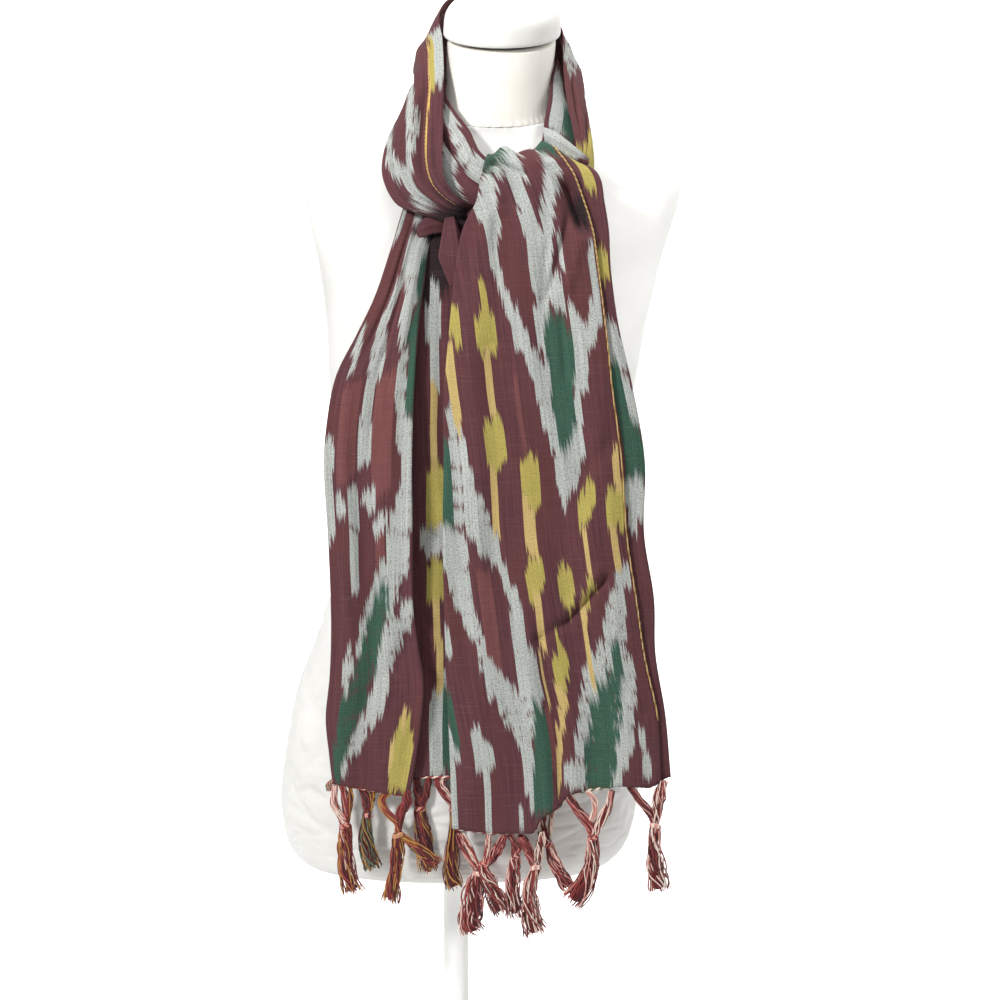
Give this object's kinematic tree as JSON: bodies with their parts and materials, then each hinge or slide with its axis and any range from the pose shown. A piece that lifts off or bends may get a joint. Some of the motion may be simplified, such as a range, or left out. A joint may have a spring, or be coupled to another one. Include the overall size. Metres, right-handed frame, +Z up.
{
  "type": "knotted ikat scarf on a limbless dress form",
  "caption": "Long woven cotton scarf with a knotted fringe, tied once at the throat of a padded limbless dress form on a low round stand",
  "frame": {"origin": "centre of the underside of the stand's round foot, on the surface that it stands on", "axes": "+Z up, the form's front and the knot face -Y, +X to the viewer's right seen from the front"},
  "size_m": [0.397, 0.3, 1.1187],
  "materials": {
    "ikat_cloth": "plain-weave cotton, dull, resist-dyed in stripes of wine red, grey, green and yellow",
    "fringe_yarn": "plied cotton yarn, dull, knotted",
    "form_cover": "white knitted cover, dull",
    "neck_cover": "off-white cloth cover, dull",
    "cap_lacquer": "white lacquer, satin",
    "stand_paint": "white powder coat, satin"
  },
  "bodies": {
    "root": {"scarf_left_drape": "ikat_cloth", "scarf_neck_back": "ikat_cloth", "scarf_right_drape": "ikat_cloth", "scarf_crossing": "ikat_cloth", "scarf_right_inner": "ikat_cloth", "scarf_wrap": "ikat_cloth", "scarf_under_cross": "ikat_cloth", "scarf_front_tail": "ikat_cloth", "scarf_left_tail": "ikat_cloth", "scarf_inner_tail": "ikat_cloth", "scarf_tuck": "ikat_cloth", "tassel_01": "fringe_yarn", "tassel_02": "fringe_yarn", "tassel_03": "fringe_yarn", "tassel_04": "fringe_yarn", "tassel_05": "fringe_yarn", "tassel_06": "fringe_yarn", "tassel_07": "fringe_yarn", "tassel_08": "fringe_yarn", "tassel_09": "fringe_yarn", "tassel_10": "fringe_yarn", "tassel_11": "fringe_yarn", "tassel_12": "fringe_yarn", "form_torso": "form_cover", "form_neck": "neck_cover", "form_neck_cap": "cap_lacquer", "stand_collar": "stand_paint", "stand_pole": "stand_paint", "stand_foot": "stand_paint"}
  },
  "joints": []
}
